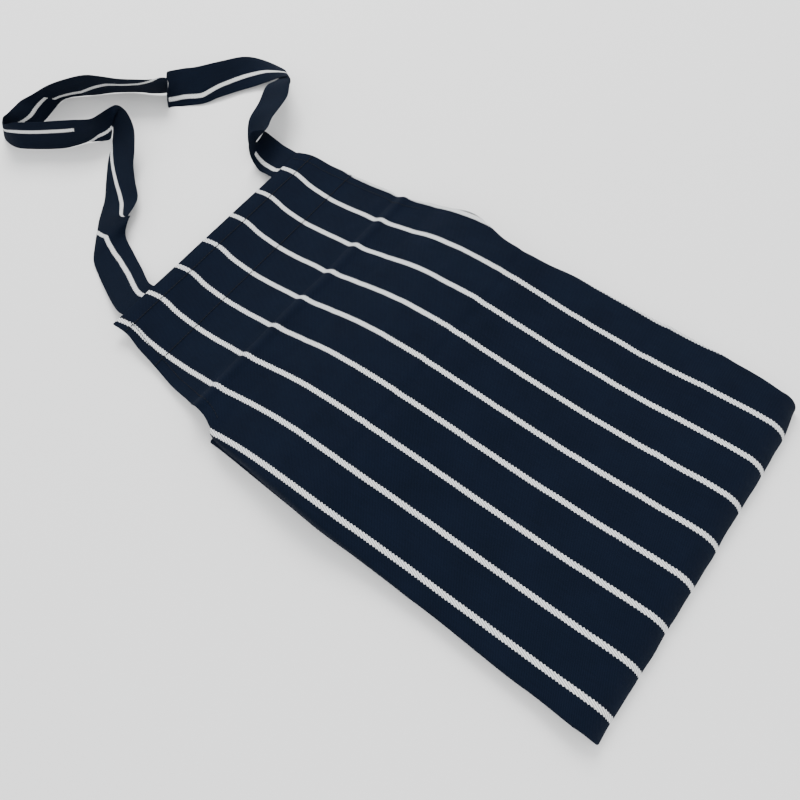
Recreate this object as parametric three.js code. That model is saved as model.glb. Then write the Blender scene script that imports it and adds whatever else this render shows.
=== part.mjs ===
// Butcher apron: striped woven cotton, folded for storage, with its neck strap laid out beyond the bib.
//
// Millimetres. X runs along the apron, from the bib's top edge (x = 0) to the main fold.
// Y runs across it, from the wearer's right side (-Y) to the left side (+Y), with y = 0 on the centre line.
// Z is up from the table. The group is moved at the end so that its origin is the middle of its base.
//
// How it is folded: both side panels are turned under along the side folds, then the lower half is
// turned under across the main fold. From the table up, the six layers of cloth are:
//   lower front, lower right flap, lower left flap, upper left flap, upper right flap, upper front.

import * as THREE from 'three';
import { mergeVertices } from 'three/addons/utils/BufferGeometryUtils.js';

// ---- Driving dimensions --------------------------------------------------------------------------

const FOLD_START = 500;         // x where the cloth starts to turn under at the main fold
const LOWER_END = 145;          // x where the turned-under lower half ends, at its bottom hem
const HALF_WIDTH = 350;         // half the width of the apron laid out flat
const ARMHOLE_DEPTH = 222;      // x where the armhole curve reaches the side edge
const CLOTH = 1.0;              // thickness of one layer of cloth
const SEAM_GAP = 0.35;          // space left between two pieces that are sewn together
const BIB_HEM_WIDTH = 55;       // depth of the wide hem across the bib's top
const HEM_WIDTH = 12;           // width of the narrow hems
const HEM_THICKNESS = 0.8;
const LAYER_CLEARANCE = 0.1;    // spare height between folded layers, over what a hem between them takes
const LAYER_STEP = CLOTH + HEM_THICKNESS + 2 * SEAM_GAP + LAYER_CLEARANCE; // from one layer to the next
const STITCH_ROWS = [13, 55];   // x of the two rows of stitching on the bib hem
const THREAD = 0.6;             // thickness of a row of stitching
const STRAP_WIDTH = 38;
const STRAP_THICKNESS = 1.4;    // two layers of cloth, pressed
const STRAP_TAB = 50;           // length of strap sewn behind the bib hem
const STRAP_START = -6;         // x where the strap leaves its sewn end and can swing
const SWING_GAP = 1;            // space between the sewn end and the part that swings
const TIE_WIDTH = 32;
const TIE_THICKNESS = 0.8;
const TIE_RUN = 150;            // length of one run of a folded waist tie
const TIE_RUNS = 5;
const TIE_STEP = 1.15;          // height from one run of a tie to the next
const TIE_END_INSET = 3;        // from the flap's free edge to the sewn end of the tie
const TACK_WIDTH = 4;           // bar tack, measured along the tie
const ROLL_DEPTH = 11;          // how far the outer layer bulges past FOLD_START at the main fold
const SIDE_BULGE = 2.4;         // how far a side fold stands out past the layers it joins

// ---- Smooth profiles -----------------------------------------------------------------------------

// A smooth curve through [position, value] knots.
function profile(knots) {
  const slopes = knots.map((knot, i) => {
    const before = knots[Math.max(i - 1, 0)];
    const after = knots[Math.min(i + 1, knots.length - 1)];
    return (after[1] - before[1]) / (after[0] - before[0]);
  });
  return (position) => {
    const last = knots.length - 2;
    let i = knots.findIndex((knot, k) => k > 0 && position < knot[0]) - 1;
    if (i < 0) i = position < knots[0][0] ? 0 : last;
    const span = knots[i + 1][0] - knots[i][0];
    const t = THREE.MathUtils.clamp((position - knots[i][0]) / span, 0, 1);
    const [a, b] = [knots[i][1], knots[i + 1][1]];
    const [da, db] = [slopes[i] * span, slopes[i + 1] * span];
    return a + t * (da + t * (3 * (b - a) - 2 * da - db + t * (2 * (a - b) + da + db)));
  };
}

// Height of the upper front's outer face: the bib dips to the table, climbs on to the folded stack,
// and humps over the folded waist ties.
const topHeight = profile([
  [0, 14], [15, 12], [35, 8.5], [57, 6.5], [LOWER_END - 65, 7.5], [LOWER_END - 40, 11],
  [LOWER_END - 23, 15.5], [LOWER_END + 5, 18.5], [LOWER_END + 40, 22], [ARMHOLE_DEPTH, 25],
  [ARMHOLE_DEPTH + TIE_WIDTH + 6, 25],
  [300, 19.5], [350, 15.5], [400, 15], [450, 15.5], [480, 16], [FOLD_START, 15],
]);

// Outline of the upper half: armhole edges down to about LOWER_END, then the side folds.
const upperLeft = profile([
  [0, -120], [50, -127], [LOWER_END - 45, -136], [LOWER_END, -144], [LOWER_END + 45, -157],
  [LOWER_END + 115, -163], [350, -167], [FOLD_START, -171],
]);
const upperRight = profile([
  [0, 123], [36, 134], [60, 137], [LOWER_END - 35, 137], [LOWER_END, 140], [LOWER_END + 45, 140],
  [LOWER_END + 105, 132], [LOWER_END + 155, 136], [430, 137], [FOLD_START, 134],
]);

// Outline of the lower half: it is a little wider, so its corners show beyond the upper half.
const lowerLeft = profile([
  [LOWER_END, -153], [LOWER_END + 45, -159], [LOWER_END + 115, -164], [350, -168], [FOLD_START, -172],
]);
const lowerRight = profile([
  [LOWER_END, 146], [LOWER_END + 85, 145], [LOWER_END + 155, 138], [430, 138], [FOLD_START, 135],
]);

// Heights of the middles of the six layers, from the table up.
const lowerFrontZ = () => CLOTH / 2;
const lowerRightFlapZ = () => lowerFrontZ() + LAYER_STEP;
const lowerLeftFlapZ = () => lowerRightFlapZ() + LAYER_STEP;
const upperLeftFlapZ = () => lowerLeftFlapZ() + LAYER_STEP + 0.2;
const upperFrontZ = (x) => topHeight(x) - CLOTH / 2;
const upperRightFlapZ = (x) => (upperLeftFlapZ() + upperFrontZ(x)) / 2;

// Where the free side edges of the flaps lie after folding: the rest of the half width, turned back.
const leftFreeEdge = (fold) => fold + (HALF_WIDTH + fold);
const rightFreeEdge = (fold) => fold - (HALF_WIDTH - fold);

// The armhole curve: distance from the centre line on the flat cloth gives the x of the edge.
function armholeX(distance) {
  const foldDistance = 145;
  const share = (HALF_WIDTH - distance) / (HALF_WIDTH - foldDistance);
  return ARMHOLE_DEPTH - (ARMHOLE_DEPTH - LOWER_END) * Math.pow(Math.max(share, 0), 3);
}

// ---- Solids --------------------------------------------------------------------------------------

// A box divided into cells and then bent: place(a, b, c) gives a point for a, b and c from 0 to 1.
function bentBox(cellsA, cellsB, place, cellsC = 1) {
  const geometry = new THREE.BoxGeometry(1, 1, 1, cellsA, cellsB, cellsC);
  const position = geometry.attributes.position;
  for (let i = 0; i < position.count; i++) {
    const [x, y, z] = place(position.getX(i) + 0.5, position.getY(i) + 0.5, position.getZ(i) + 0.5);
    position.setXYZ(i, x, y, z);
  }
  geometry.deleteAttribute('normal');
  geometry.deleteAttribute('uv');
  const solid = mergeVertices(geometry);
  faceOutwards(solid);
  solid.computeVertexNormals();
  return solid;
}

// Turn every triangle over if the solid came out inside out, as a mirrored piece does.
function faceOutwards(geometry) {
  const [a, b, c] = [new THREE.Vector3(), new THREE.Vector3(), new THREE.Vector3()];
  const { position } = geometry.attributes;
  const index = geometry.index;
  let volume = 0;
  for (let i = 0; i < index.count; i += 3) {
    a.fromBufferAttribute(position, index.getX(i));
    b.fromBufferAttribute(position, index.getX(i + 1));
    c.fromBufferAttribute(position, index.getX(i + 2));
    volume += a.dot(b.cross(c));
  }
  if (volume > 0) return;
  for (let i = 0; i < index.count; i += 3) {
    const second = index.getX(i + 1);
    index.setX(i + 1, index.getX(i + 2));
    index.setX(i + 2, second);
  }
}

// A layer of cloth from x0 to x1, between two side edges, at a height that may follow x.
function clothSheet({ x0, x1, left, right, height, thickness = CLOTH, cells = 24, across = 1 }) {
  return bentBox(cells, across, (a, b, c) => {
    const x = THREE.MathUtils.lerp(x0, x1, a);
    return [x, THREE.MathUtils.lerp(left(x), right(x), b), height(x) + (c - 0.5) * thickness];
  });
}

// A side flap: it starts at the armhole curve (or at a straight end) and runs to x1.
function flapSheet({ startX, x1, fold, freeEdge, height }) {
  return bentBox(24, 6, (a, b, c) => {
    const foldDistance = Math.abs(fold(LOWER_END));
    const distance = THREE.MathUtils.lerp(foldDistance, HALF_WIDTH, b);
    const x = THREE.MathUtils.lerp(startX(distance), x1, a);
    return [x, THREE.MathUtils.lerp(fold(x), freeEdge(fold(x)), b), height(x) + (c - 0.5) * CLOTH];
  });
}

// The half-round turn of cloth along a side fold, from one layer's height to another's.
function sideFold({ x0, x1, edge, side, topZ, bottomZ }) {
  return bentBox(24, 6, (a, b, c) => {
    const x = THREE.MathUtils.lerp(x0, x1, a);
    const angle = Math.PI * (0.5 - b);
    const half = (topZ(x) - bottomZ(x)) / 2;
    const radius = half + (c - 0.5) * CLOTH;
    const bulge = Math.min(half, SIDE_BULGE) + (c - 0.5) * CLOTH;
    const y = edge(x) + side * (SEAM_GAP + bulge * Math.cos(angle));
    return [x, y, bottomZ(x) + half + radius * Math.sin(angle)];
  });
}

// The turn of one layer across the main fold, from its upper half to its lower half.
function mainFold({ y0, y1, topZ, bottomZ, depth }) {
  return bentBox(1, 12, (a, b, c) => {
    const angle = Math.PI * (0.5 - b);
    const half = (topZ - bottomZ) / 2;
    const offset = (c - 0.5) * CLOTH;
    const x = FOLD_START + SEAM_GAP + (depth + offset) * Math.cos(angle);
    return [x, THREE.MathUtils.lerp(y0, y1, a), bottomZ + half + (half + offset) * Math.sin(angle)];
  });
}

// ---- The object ----------------------------------------------------------------------------------

const COLOURS = { cloth: 0x1b2638, lining: 0x18222f, thread: 0x10161f };
const apron = new THREE.Group();

function add(name, geometry, colour = COLOURS.cloth, roughness = 0.9) {
  const material = new THREE.MeshStandardMaterial({ color: colour, roughness, metalness: 0 });
  const mesh = new THREE.Mesh(geometry, material);
  mesh.name = name;
  apron.add(mesh);
}

const inset = (edge, distance) => (x) => edge(x) - Math.sign(edge(x)) * distance;

// Upper half: the front, the side folds and the two flaps behind it.
function addUpperCloth() {
  const left = inset(upperLeft, SIDE_BULGE);
  const right = inset(upperRight, SIDE_BULGE);
  add('upper_front_panel', clothSheet({ x0: 0, x1: FOLD_START, left, right, height: upperFrontZ,
    cells: 48 }));
  const x0 = LOWER_END + 4;
  add('upper_left_side_fold', sideFold({ x0, x1: FOLD_START, edge: left, side: -1,
    topZ: upperFrontZ, bottomZ: upperLeftFlapZ }));
  add('upper_right_side_fold', sideFold({ x0, x1: FOLD_START, edge: right, side: 1,
    topZ: upperFrontZ, bottomZ: upperRightFlapZ }));
  add('upper_left_flap', flapSheet({ startX: (d) => Math.max(armholeX(d), x0), x1: FOLD_START, fold: left,
    freeEdge: leftFreeEdge, height: upperLeftFlapZ }));
  add('upper_right_flap', flapSheet({ startX: (d) => Math.max(armholeX(d), x0), x1: FOLD_START, fold: right,
    freeEdge: rightFreeEdge, height: upperRightFlapZ }));
}

// Lower half: the same cloth, face down on the table, with its flaps on top of it.
function addLowerCloth() {
  const left = inset(lowerLeft, SIDE_BULGE);
  const right = inset(lowerRight, SIDE_BULGE);
  const x0 = LOWER_END;
  add('lower_front_panel', clothSheet({ x0, x1: FOLD_START, left, right, height: lowerFrontZ }));
  add('lower_left_side_fold', sideFold({ x0, x1: FOLD_START, edge: left, side: -1,
    topZ: lowerLeftFlapZ, bottomZ: lowerFrontZ }));
  add('lower_right_side_fold', sideFold({ x0, x1: FOLD_START, edge: right, side: 1,
    topZ: lowerRightFlapZ, bottomZ: lowerFrontZ }));
  add('lower_left_flap', flapSheet({ startX: () => x0, x1: FOLD_START, fold: left,
    freeEdge: leftFreeEdge, height: lowerLeftFlapZ }));
  add('lower_right_flap', flapSheet({ startX: () => x0, x1: FOLD_START, fold: right,
    freeEdge: rightFreeEdge, height: lowerRightFlapZ }));
}

// The main fold: three nested turns, one for each pair of layers that it joins.
function addMainFold() {
  const left = inset(upperLeft, SIDE_BULGE)(FOLD_START);
  const right = inset(upperRight, SIDE_BULGE)(FOLD_START);
  const step = LAYER_STEP;
  add('front_main_fold', mainFold({ y0: left, y1: right, topZ: upperFrontZ(FOLD_START),
    bottomZ: lowerFrontZ(), depth: ROLL_DEPTH }));
  add('right_flap_main_fold', mainFold({ y0: rightFreeEdge(right), y1: right - SIDE_BULGE,
    topZ: upperRightFlapZ(FOLD_START), bottomZ: lowerRightFlapZ(), depth: ROLL_DEPTH - step }));
  add('left_flap_main_fold', mainFold({ y0: left + SIDE_BULGE, y1: leftFreeEdge(left),
    topZ: upperLeftFlapZ(), bottomZ: lowerLeftFlapZ(), depth: ROLL_DEPTH - 2 * step }));
}

// The wide hem across the bib's top, turned to the inside, and its two rows of stitching.
function addBibHem() {
  const left = inset(upperLeft, SIDE_BULGE + 1);
  const right = inset(upperRight, SIDE_BULGE + 1);
  const facingZ = (x) => upperFrontZ(x) - CLOTH / 2 - SEAM_GAP - HEM_THICKNESS / 2;
  add('bib_hem_facing', clothSheet({ x0: 1, x1: BIB_HEM_WIDTH + 2, left, right, height: facingZ,
    thickness: HEM_THICKNESS, cells: 10 }), COLOURS.lining);
  STITCH_ROWS.forEach((rowX, i) => {
    const height = (x) => topHeight(x) + SEAM_GAP + THREAD / 2;
    add(`bib_hem_stitch_row_${i + 1}`, clothSheet({ x0: rowX - THREAD, x1: rowX + THREAD, left, right, height,
      thickness: THREAD, cells: 1, across: 12 }), COLOURS.thread, 0.7);
  });
}

// Narrow turned hems: both armhole edges of the bib, the flaps' free side edges, and the bottom.
function addNarrowHems() {
  const under = (height) => (x) => height(x) - CLOTH / 2 - SEAM_GAP - HEM_THICKNESS / 2;
  const over = (height) => (x) => height(x) + CLOTH / 2 + SEAM_GAP + HEM_THICKNESS / 2;
  const strip = (name, x0, x1, edge, inward, height) => add(name, clothSheet({
    x0, x1, left: (x) => Math.min(edge(x), edge(x) + inward * HEM_WIDTH),
    right: (x) => Math.max(edge(x), edge(x) + inward * HEM_WIDTH), height, thickness: HEM_THICKNESS,
    cells: 16,
  }), COLOURS.lining);

  const armholeTop = BIB_HEM_WIDTH + 4;
  const armholeEnd = LOWER_END - 2;
  strip('armhole_hem_left', armholeTop, armholeEnd, inset(upperLeft, SIDE_BULGE), 1, under(upperFrontZ));
  strip('armhole_hem_right', armholeTop, armholeEnd, inset(upperRight, SIDE_BULGE), -1, under(upperFrontZ));

  const freeEdge = (outline, turn) => (x) => turn(inset(outline, SIDE_BULGE)(x));
  const belowTie = ARMHOLE_DEPTH + TIE_WIDTH + 6;
  const sideEnd = FOLD_START - 2;
  const lowerStart = LOWER_END + HEM_WIDTH + 8;
  strip('upper_left_side_hem', belowTie, sideEnd, freeEdge(upperLeft, leftFreeEdge), -1,
    over(upperLeftFlapZ));
  strip('upper_right_side_hem', belowTie, sideEnd, freeEdge(upperRight, rightFreeEdge), 1,
    over(upperRightFlapZ));
  strip('lower_left_side_hem', lowerStart, sideEnd, freeEdge(lowerLeft, leftFreeEdge), -1,
    under(lowerLeftFlapZ));
  strip('lower_right_side_hem', lowerStart, sideEnd, freeEdge(lowerRight, rightFreeEdge), 1,
    under(lowerRightFlapZ));

  add('bottom_hem', clothSheet({ x0: LOWER_END + 1, x1: LOWER_END + 1 + HEM_WIDTH,
    left: inset(lowerLeft, 2 * SIDE_BULGE), right: inset(lowerRight, 2 * SIDE_BULGE),
    height: over(lowerFrontZ), thickness: HEM_THICKNESS, cells: 2 }), COLOURS.lining);
}

// ---- Neck strap ----------------------------------------------------------------------------------

// The strap's route, from the bib's left corner round to its right corner: x, y and z of its middle,
// and its roll in degrees (0 lies flat, 90 stands on its left edge). It rises and stands up on edge at
// the turns that a flat strap can't make lying down.
const STRAP_ROUTE = [
  [STRAP_START, -91, 10.4, 0], [-15, -91, 8.8, 0], [-27, -86, 6.8, 1], [-40, -79, 4.8, 2],
  [-60, -71, 3.6, 3], [-78, -61, 4.6, 8],
  [-94, -40, 7.4, 14], [-110, -18, 7.6, 15], [-127, 0, 8, 15], [-143, 16, 11, 20], [-158, 31, 15.5, 32],
  [-176, 43, 19.2, 52], [-192, 40, 20, 68], [-203, 22, 20.2, 78], [-213, 3, 20.2, 80], [-231, -14, 20.2, 80],
  [-250, -27, 20.2, 80], [-270, -27, 20.2, 82], [-282, -10, 20.2, 84], [-284, 13, 20.2, 84],
  [-275, 38, 20.2, 84], [-257, 61, 20.2, 80], [-234, 78, 20.2, 76], [-210, 92, 19.4, 62],
  [-190, 107, 16, 45], [-173, 126, 10.6, 24], [-160, 145, 6.2, 10], [-148, 164, 4.2, 4], [-134, 181, 4, 2],
  [-116, 192, 4.6, -4], [-97, 190, 8, -14], [-84, 175, 12, -26], [-73, 155, 14.6, -34], [-62, 135, 14.6, -34],
  [-48, 117, 11.6, -24], [-27, 107, 9, -8],
  [-15, 103, 9.8, 0], [STRAP_START, 103, 10.4, 0],
];

const strapCentres = new THREE.CatmullRomCurve3(STRAP_ROUTE.map(([x, y, z]) => new THREE.Vector3(x, y, z)),
  false, 'catmullrom', 0.5);
const strapRolls = new THREE.CatmullRomCurve3(STRAP_ROUTE.map((point) => new THREE.Vector3(point[3], 0, 0)),
  false, 'catmullrom', 0.5);

function neckStrap() {
  const up = new THREE.Vector3(0, 0, 1);
  return bentBox(3 * (STRAP_ROUTE.length - 1), 2, (a, b, c) => {
    const heading = strapCentres.getTangent(a).setZ(0).normalize();
    const right = heading.clone().cross(up);
    const roll = THREE.MathUtils.degToRad(strapRolls.getPoint(a).x);
    const across = right.clone().multiplyScalar(Math.cos(roll)).addScaledVector(up, Math.sin(roll));
    const normal = across.clone().cross(heading);
    const point = strapCentres.getPoint(a)
      .addScaledVector(across, (b - 0.5) * STRAP_WIDTH)
      .addScaledVector(normal, (c - 0.5) * STRAP_THICKNESS);
    return point.toArray();
  });
}

// The strap's two ends, sewn behind the bib hem at its corners.
function strapEnd(side) {
  const y = (side < 0 ? STRAP_ROUTE[0] : STRAP_ROUTE[STRAP_ROUTE.length - 1])[1];
  const facingBottom = CLOTH + SEAM_GAP + HEM_THICKNESS;
  const height = (x) => topHeight(x) - facingBottom - SEAM_GAP - STRAP_THICKNESS / 2;
  return clothSheet({ x0: STRAP_START + SWING_GAP, x1: STRAP_TAB, left: () => y - STRAP_WIDTH / 2,
    right: () => y + STRAP_WIDTH / 2, height, thickness: STRAP_THICKNESS, cells: 8 });
}

// ---- Waist ties ----------------------------------------------------------------------------------

// A tie folded to and fro in flat runs, seen from its side: a zigzag strip of cloth. The lowest run
// goes on to the sewn end. direction is +1 where the sewn end lies towards +Y.
function foldedTie(x0, sewnY, direction, bottomZ) {
  const lead = 20;
  const centre = [];
  const turnInset = TIE_STEP / 2;
  const nearY = sewnY - direction * lead;
  const farY = nearY - direction * TIE_RUN;
  centre.push([sewnY, bottomZ]);
  for (let run = 0; run < TIE_RUNS; run++) {
    const z = bottomZ + run * TIE_STEP;
    const endY = run % 2 === 0 ? farY + direction * turnInset : nearY - direction * turnInset;
    const outward = run % 2 === 0 ? -direction : direction;
    centre.push([endY, z]);
    if (run < TIE_RUNS - 1) {
      for (const degrees of [45, 90, 135]) {
        const angle = THREE.MathUtils.degToRad(degrees);
        centre.push([endY + outward * turnInset * Math.sin(angle), z + turnInset * (1 - Math.cos(angle))]);
      }
    }
    if (run < TIE_RUNS - 1) centre.push([endY, z + TIE_STEP]);
  }
  return bentBox(centre.length - 1, 1, (a, b, c) => {
    const i = Math.round(a * (centre.length - 1));
    const [before, after] = [centre[Math.max(i - 1, 0)], centre[Math.min(i + 1, centre.length - 1)]];
    const along = new THREE.Vector2(after[0] - before[0], after[1] - before[1]).normalize();
    const offset = (c - 0.5) * TIE_THICKNESS;
    return [x0 + b * TIE_WIDTH, centre[i][0] - along.y * offset, centre[i][1] + along.x * offset];
  });
}

function addWaistTies() {
  const x0 = ARMHOLE_DEPTH + 3;
  const sides = [
    { side: 'left', outline: upperLeft, turn: leftFreeEdge, direction: 1, flapZ: upperLeftFlapZ },
    { side: 'right', outline: upperRight, turn: rightFreeEdge, direction: -1, flapZ: upperRightFlapZ },
  ];
  for (const { side, outline, turn, direction, flapZ } of sides) {
    const freeEdge = turn(inset(outline, SIDE_BULGE)(x0));
    const highest = Math.max(flapZ(x0), flapZ(x0 + TIE_WIDTH / 2), flapZ(x0 + TIE_WIDTH));
    const bottomZ = highest + CLOTH / 2 + SEAM_GAP + TIE_THICKNESS / 2;
    const sewnY = freeEdge - direction * TIE_END_INSET;
    add(`waist_tie_${side}`, foldedTie(x0, sewnY, direction, bottomZ));
    const tackZ = () => bottomZ + TIE_THICKNESS / 2 + SEAM_GAP + THREAD / 2;
    const tackY = [sewnY - direction * 2, sewnY - direction * (2 + TACK_WIDTH)].sort((p, q) => p - q);
    add(`tie_bar_tack_${side}`, clothSheet({ x0: x0 + 2, x1: x0 + TIE_WIDTH - 2, left: () => tackY[0],
      right: () => tackY[1], height: tackZ, thickness: THREAD, cells: 1 }), COLOURS.thread, 0.7);
  }
}

addUpperCloth();
addLowerCloth();
addMainFold();
addBibHem();
addNarrowHems();
add('neck_strap', neckStrap());
add('strap_end_left', strapEnd(-1));
add('strap_end_right', strapEnd(1));
addWaistTies();

// Put the origin at the middle of the base.
const box = new THREE.Box3().setFromObject(apron);
apron.position.set(-(box.min.x + box.max.x) / 2, -(box.min.y + box.max.y) / 2, -box.min.z);
apron.updateMatrixWorld(true);

export default apron;
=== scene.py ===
# %% [markdown]
# # A butcher apron, folded, with its neck strap laid out
#
# The apron is one piece of heavy cotton twill, navy with narrow white stripes woven in along its length.
# Both sides have been turned under, then the lower half has been turned under, and the neck strap has
# been left to lie in front of the bib. This lesson lays that cloth out again from its flat pattern.
#
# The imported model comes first. It gives the bodies that move, and the places every piece starts from.

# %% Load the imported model
import math

import bpy
import numpy as np
from mathutils import Matrix, Vector, noise


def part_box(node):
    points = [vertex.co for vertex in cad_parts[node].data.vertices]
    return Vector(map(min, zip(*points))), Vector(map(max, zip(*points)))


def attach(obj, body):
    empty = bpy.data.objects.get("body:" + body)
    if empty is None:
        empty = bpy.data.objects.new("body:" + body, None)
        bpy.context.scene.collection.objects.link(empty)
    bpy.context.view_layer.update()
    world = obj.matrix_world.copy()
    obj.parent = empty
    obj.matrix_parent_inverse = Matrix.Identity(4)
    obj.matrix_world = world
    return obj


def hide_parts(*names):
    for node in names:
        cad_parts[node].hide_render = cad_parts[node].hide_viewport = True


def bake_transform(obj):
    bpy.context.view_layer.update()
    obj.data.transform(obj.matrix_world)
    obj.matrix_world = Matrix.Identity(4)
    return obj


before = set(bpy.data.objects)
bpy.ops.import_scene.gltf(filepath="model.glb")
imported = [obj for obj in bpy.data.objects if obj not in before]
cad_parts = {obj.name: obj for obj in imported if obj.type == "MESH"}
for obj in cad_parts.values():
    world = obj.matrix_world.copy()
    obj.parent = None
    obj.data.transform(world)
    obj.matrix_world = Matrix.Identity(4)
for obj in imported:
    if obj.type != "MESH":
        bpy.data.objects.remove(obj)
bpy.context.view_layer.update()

# %% [markdown]
# ## Places on the apron
#
# A sewing pattern is drawn in millimetres from the bib's top edge and from the centre line, so the
# script thinks in the same way: x runs down the apron, y across it, z up from the table. One function
# turns such places into the model's own frame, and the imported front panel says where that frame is.

# %% Pattern millimetres to the frame
MM = 0.001
FRONT_LOW, FRONT_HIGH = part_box("upper_front_panel")
FRONT_LEFT_REACH = 168.6  # the front panel's widest reach to the left of the centre line
ORIGIN = np.array([FRONT_LOW[0], FRONT_LOW[1] + FRONT_LEFT_REACH * MM, 0.0])


def in_frame(points):
    """Pattern millimetres as metres in the model's frame."""
    return np.asarray(points, float) * MM + ORIGIN


print("bib edge on the centre line:", in_frame([0, 0, 0]).round(4))

# %% [markdown]
# ## Camera
#
# The apron is seen from above its near right corner, close enough for the far strap to look clearly
# smaller than the near fold. A lens as long as the sensor is wide gives that much perspective.

# %% Camera
CAMERA_PLACE = [468.4, -263.3, 569.6]
CAMERA_RIGHT = Vector((0.7913, 0.6076, -0.0685))
CAMERA_FORWARD = Vector((-0.3437, 0.3494, -0.8717))

camera_data = bpy.data.cameras.new("apron_camera")
camera_data.lens = 36
camera_data.sensor_width = 36
camera_data.clip_start = 0.01
camera = bpy.data.objects.new("apron_camera", camera_data)
bpy.context.scene.collection.objects.link(camera)
camera_back = -CAMERA_FORWARD.normalized()
camera_right = (CAMERA_RIGHT - CAMERA_RIGHT.dot(camera_back) * camera_back).normalized()
camera_up = camera_back.cross(camera_right)
camera.matrix_world = (Matrix.Translation(in_frame(CAMERA_PLACE))
                       @ Matrix((camera_right, camera_up, camera_back)).transposed().to_4x4())
bpy.context.scene.camera = camera
print("camera at", [round(value, 3) for value in camera.location])

# %% [markdown]
# ## Floor and light
#
# Dark cloth shows its folds only if light comes from one side, and its weave only if that light is wide
# and soft. So there is one large soft lamp behind and to the left, a weaker one in front, and a pale
# room all round. The floor is a plain pale board, which is not part of the apron.

# %% Small helpers for materials


def srgb(code):
    """An sRGB hex colour as the linear colour that a shader takes."""
    channels = [int(code[i:i + 2], 16) / 255 for i in (0, 2, 4)]
    return [*(c / 12.92 if c <= 0.04045 else ((c + 0.055) / 1.055) ** 2.4 for c in channels), 1.0]


def add_node(tree, kind, inputs=None, **settings):
    """Adds a node with its settings. An input is a number, a colour, or another node's socket."""
    made = tree.nodes.new(kind)
    for name, value in settings.items():
        setattr(made, name, value)
    for key, value in (inputs or {}).items():
        if isinstance(value, bpy.types.NodeSocket):
            tree.links.new(value, made.inputs[key])
        else:
            made.inputs[key].default_value = value
    return made


def new_material(name):
    """An empty material with its output node, and the node tree to build in."""
    material = bpy.data.materials.new(name)
    material.use_nodes = True
    tree = material.node_tree
    tree.nodes.clear()
    return material, tree, tree.nodes.new("ShaderNodeOutputMaterial")


print("navy is", [round(value, 4) for value in srgb("15202F")])

# %% Floor
pale_board, tree, output = new_material("pale_painted_board")
grain = add_node(tree, "ShaderNodeTexNoise", {"Scale": 3.0, "Detail": 2.0})
tint = add_node(tree, "ShaderNodeMix", {"Factor": grain.outputs["Fac"], "A": srgb("F7F7F5"),
                                        "B": srgb("FAFAF9")}, data_type="RGBA")
shader = add_node(tree, "ShaderNodeBsdfPrincipled", {"Base Color": tint.outputs["Result"],
                                                     "Roughness": 0.9})
tree.links.new(shader.outputs["BSDF"], output.inputs["Surface"])

FLOOR_HALF = 3.0
floor_mesh = bpy.data.meshes.new("floor")
floor_mesh.from_pydata([(-FLOOR_HALF, -FLOOR_HALF, 0), (FLOOR_HALF, -FLOOR_HALF, 0),
                        (FLOOR_HALF, FLOOR_HALF, 0), (-FLOOR_HALF, FLOOR_HALF, 0)], [], [(0, 1, 2, 3)])
floor_mesh.materials.append(pale_board)
floor = bpy.data.objects.new("floor", floor_mesh)
bpy.context.scene.collection.objects.link(floor)

# %% Lamps and room light


def soft_lamp(name, place, watts, size):
    """A square area lamp that points at the middle of the apron."""
    lamp = bpy.data.lights.new(name, "AREA")
    lamp.energy = watts
    lamp.size = size
    holder = bpy.data.objects.new(name, lamp)
    bpy.context.scene.collection.objects.link(holder)
    holder.location = place
    holder.rotation_mode = "QUATERNION"
    holder.rotation_quaternion = (-Vector(place)).to_track_quat("-Z", "Y")
    return holder


soft_lamp("window_lamp", (-1.1, 1.2, 1.7), 60, 1.2)
soft_lamp("front_lamp", (1.3, -0.9, 1.5), 20, 1.4)
print("lamps:", [lamp.name for lamp in bpy.data.lights])
room = bpy.data.worlds.new("pale_room")
bpy.context.scene.world = room
room.use_nodes = True
room.node_tree.nodes["Background"].inputs["Color"].default_value = srgb("FBFCFF")
room.node_tree.nodes["Background"].inputs["Strength"].default_value = 1.12

# %% [markdown]
# ## The striped twill
#
# Cotton twill is woven so that each thread passes over two and under one, a step further along in each
# row, which raises fine slanting lines. The warp is dyed navy, and every 36 mm a band of about 5 mm of
# undyed warp makes a white stripe. There the slanting lines read as short cords, and the stripe's edges
# are slightly toothed, because each row of the weave ends a step later than the last.
#
# All of it follows the cloth, so it reads the piece's own UV map, which holds real metres: u along the
# apron and v across it. A triangle wave of v gives the distance to the nearest stripe.

# %% Weave of the cloth
STRIPE_PITCH = 0.036
STRIPE_HALF = 0.00215
STRIPE_AT = 0.030       # a stripe's place from the centre line; the others are whole pitches away
TWILL_PITCH = 0.0011    # real twill lines are about 0.7 mm apart, drawn a little coarser so they show
CORD_PITCH = 0.0015     # the slanting cords seen in a white stripe
TOOTH_PITCH = 0.0026    # teeth along a stripe's edge
TOOTH_DEPTH = 0.0007
TWILL_SLANT, CORD_SLANT, TOOTH_SLANT = 52, 24, 78    # degrees from the cloth's length
WARP_THREADS = (45.0, 1500.0)    # how often the threads change in a metre, along the cloth and across it
WEFT_THREADS = (1300.0, 60.0)
WORN_PATCHES = 28.0              # per metre, where the dye has faded unevenly
EDGE_SOFTNESS = 0.0001
WEAVE_RELIEF = 0.0003


def math_node(tree, operation, *values):
    """The output of one step of arithmetic."""
    return add_node(tree, "ShaderNodeMath", dict(enumerate(values)), operation=operation).outputs[0]


def slanting_wave(tree, u, v, pitch, degrees):
    """A wave from 0 to 1 with lines that lie at an angle to the cloth's length, pitch metres apart."""
    angle = math.radians(degrees)
    along = math_node(tree, "MULTIPLY", u, math.sin(angle) * 2 * math.pi / pitch)
    across = math_node(tree, "MULTIPLY", v, math.cos(angle) * 2 * math.pi / pitch)
    wave = math_node(tree, "SINE", math_node(tree, "ADD", along, across))
    return math_node(tree, "MULTIPLY_ADD", wave, 0.5, 0.5)


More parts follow.
